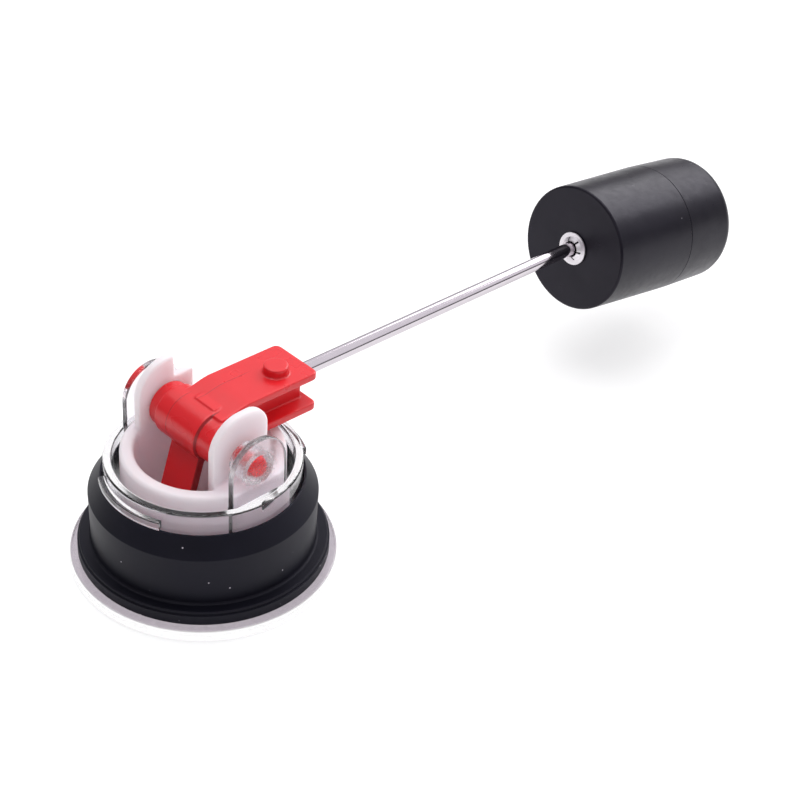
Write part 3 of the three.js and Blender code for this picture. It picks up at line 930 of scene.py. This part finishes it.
def make_camera():
    data = bpy.data.cameras.new("camera")
    data.lens = CAMERA["lens"]
    data.sensor_width = 36.0
    data.clip_start = 0.01
    data.clip_end = 50.0
    look = Vector(CAMERA["look"]).normalized()
    level = look.cross(Vector((0, 0, 1))).normalized()
    upright = level.cross(look)
    roll = CAMERA["roll"]
    up = upright * math.cos(roll) + level * math.sin(roll)
    right = level * math.cos(roll) - upright * math.sin(roll)
    turn = Matrix((right, up, -look)).transposed().to_4x4()
    camera = bpy.data.objects.new("camera", data)
    camera.matrix_world = Matrix.Translation(Vector(CAMERA["at"])) @ turn
    bpy.context.scene.collection.objects.link(camera)
    bpy.context.scene.camera = camera


def make_lamp(name, at, target, size, power):
    data = bpy.data.lights.new(name, "AREA")
    data.shape = "RECTANGLE"
    data.size, data.size_y = size
    data.energy = power
    lamp = bpy.data.objects.new(name, data)
    aim = (Vector(target) - Vector(at)).to_track_quat("-Z", "Y")
    lamp.matrix_world = Matrix.Translation(Vector(at)) @ aim.to_matrix().to_4x4()
    bpy.context.scene.collection.objects.link(lamp)


def make_floor():
    bm = bmesh.new()
    bmesh.ops.create_grid(bm, x_segments=8, y_segments=8, size=FLOOR_HALF)
    floor = as_object("floor", bm)
    look = Look("pale_floor")
    look.set(Base_Color=(0.5, 0.5, 0.5, 1), Roughness=0.8, Specular_IOR_Level=0.1)
    look.set(Emission_Color=(1, 1, 1, 1), Emission_Strength=0.62)
    floor.data.materials.append(look.material)


def make_world():
    """A room that is dark at the horizon and behind the camera, and bright overhead towards +X."""
    world = bpy.data.worlds.new("studio")
    bpy.context.scene.world = world
    world.use_nodes = True
    tree = world.node_tree
    place = tree.nodes.new("ShaderNodeTexCoord")
    split = tree.nodes.new("ShaderNodeSeparateXYZ")
    tree.links.new(place.outputs["Generated"], split.inputs[0])
    levels = []
    for axis, dark_at, bright_at, least in (("Z", 0.14, 0.34, 0.12), ("X", -0.35, 0.35, 0.35)):
        level = tree.nodes.new("ShaderNodeMapRange")
        level.inputs["From Min"].default_value = dark_at
        level.inputs["From Max"].default_value = bright_at
        level.inputs["To Min"].default_value = least
        tree.links.new(split.outputs[axis], level.inputs["Value"])
        levels.append(level.outputs["Result"])
    both = tree.nodes.new("ShaderNodeMath")
    both.operation = "MULTIPLY"
    tree.links.new(levels[0], both.inputs[0])
    tree.links.new(levels[1], both.inputs[1])
    background = tree.nodes["Background"]
    background.inputs["Color"].default_value = (0.97, 0.95, 1.0, 1)
    tree.links.new(both.outputs[0], background.inputs["Strength"])


def make_studio():
    target = (0.06, 0, 0.03)
    make_lamp("window", (1.0, 0.12, 0.66), target, (0.95, 0.5), 5.5)
    make_lamp("top", (0.1, 0.25, 1.1), target, (0.9, 0.9), 6.0)
    make_lamp("fill", (-0.75, -0.35, 0.75), target, (0.4, 0.4), 0.9)
    bpy.context.scene.view_settings.view_transform = "Standard"
    make_floor()
    make_world()


make_camera()
make_studio()
drawn_steel = polished_steel("polished_steel", 0.07, 0.14, linear(214, 207, 212), linear(202, 196, 202))
pressed_steel = polished_steel("pressed_steel", 0.36, 0.48, linear(236, 232, 236), linear(224, 220, 225))
black = black_plastic()
make_housing(clear_plastic())
make_grommet(black_rubber())
make_cup(milky_plastic())
make_dial(dial_white(), dial_ink())
make_lever(red_plastic())
make_rod(drawn_steel)
make_float(black)
make_retainer("near_retainer", "inner_retainer", pressed_steel, True)
make_retainer("far_retainer", "outer_retainer", pressed_steel, False)
